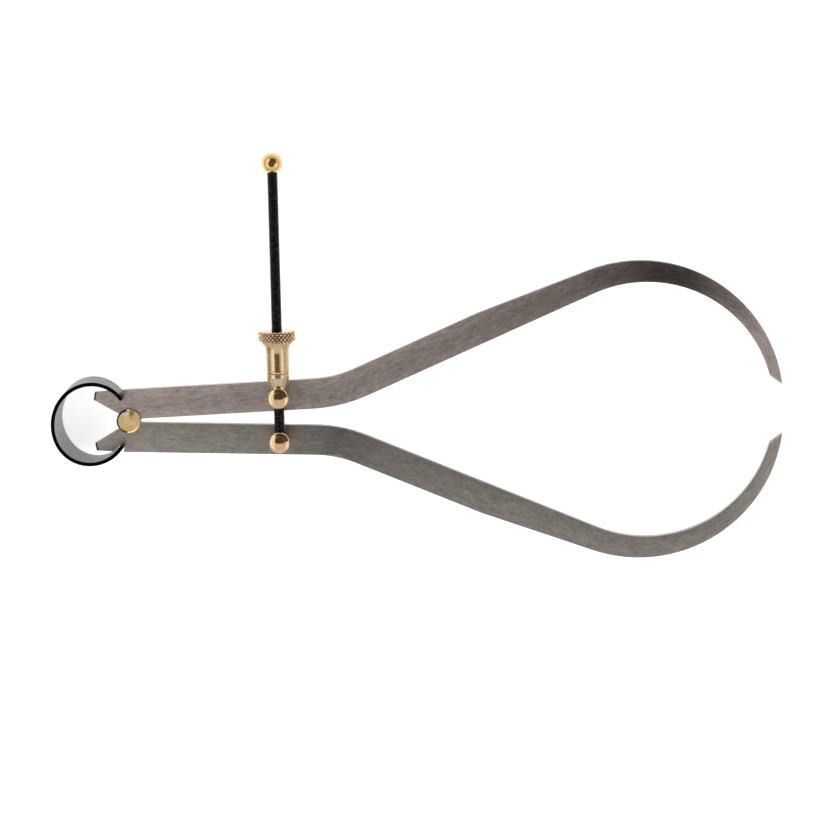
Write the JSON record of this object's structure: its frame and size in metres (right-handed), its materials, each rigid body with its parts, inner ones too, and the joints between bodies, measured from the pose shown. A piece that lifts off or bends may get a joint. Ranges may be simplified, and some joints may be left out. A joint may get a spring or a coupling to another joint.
{
  "type": "bow spring outside caliper",
  "caption": "Outside caliper with two bowed flat legs, a bow spring over a turned fulcrum and a screw with a knurled nut that sets the opening.",
  "frame": {"origin": "centre of the bounding box, on the plane that the rear edge of the bow spring rests on", "axes": "+X along the centre line of the two legs, from the bow spring to the measuring tips; +Y along the adjusting screw, from the lower leg to the upper leg; +Z out of the front face, towards the studs' domes"},
  "size_m": [0.2228, 0.127, 0.0211],
  "materials": {
    "leg_steel": "satin, fine grain along the leg",
    "spring_steel": "satin, dark edges",
    "black_steel": "black oxide",
    "brass": "turned and polished",
    "pale_brass": "turned and polished"
  },
  "bodies": {
    "frame": {"lower_leg": "leg_steel"},
    "fulcrum": {"fulcrum_spool": "brass"},
    "bow": {"bow_spring": "spring_steel"},
    "upper_leg": {"upper_leg": "leg_steel"},
    "screw": {"adjusting_screw": "black_steel", "screw_ball": "brass", "ball_pin": "brass", "lower_stud": "brass", "lower_stud_washer": "brass"},
    "swivel": {"upper_stud": "brass", "upper_stud_washer": "brass", "thrust_cone": "pale_brass"},
    "nut": {"adjusting_nut": "brass"}
  },
  "joints": [
    {"name": "leg_open", "type": "hinge", "parent": "frame", "child": "upper_leg", "pos_m": [-0.08857, -0.01771, 0.0104], "axis": [0, 0, 1], "range_deg": [-4.2, 55.8]},
    {"name": "fulcrum_turn", "type": "hinge", "parent": "frame", "child": "fulcrum", "pos_m": [-0.08857, -0.01771, 0.0104], "axis": [0, 0, 1], "range_deg": [-2.1, 27.9]},
    {"name": "bow_follow", "type": "slide", "parent": "fulcrum", "child": "bow", "axis": [-1, 0, 0], "range_m": [-0.00028, 0.00351], "deforming": ["bow_spring"]},
    {"name": "screw_tilt", "type": "hinge", "parent": "frame", "child": "screw", "pos_m": [-0.04228, -0.02446, 0.0104], "axis": [0, 0, 1], "range_deg": [-2.1, 27.9]},
    {"name": "stud_swivel", "type": "hinge", "parent": "upper_leg", "child": "swivel", "pos_m": [-0.04228, -0.01096, 0.0104], "axis": [0, 0, 1], "range_deg": [-27.9, 2.1]},
    {"name": "nut_spin", "type": "hinge", "parent": "swivel", "child": "nut", "pos_m": [-0.04228, 0.00299, 0.0153], "axis": [0, 1, 0], "range_deg": [-1800, 23830]}
  ],
  "couplings": [
    {"joint": "nut_spin", "follows": "leg_open", "ratio": 426.6},
    {"joint": "fulcrum_turn", "follows": "leg_open", "ratio": 0.5},
    {"joint": "screw_tilt", "follows": "leg_open", "ratio": 0.5},
    {"joint": "stud_swivel", "follows": "leg_open", "ratio": -0.5},
    {"joint": "bow_follow", "follows": "leg_open", "m_per_rad": 0.003595}
  ]
}
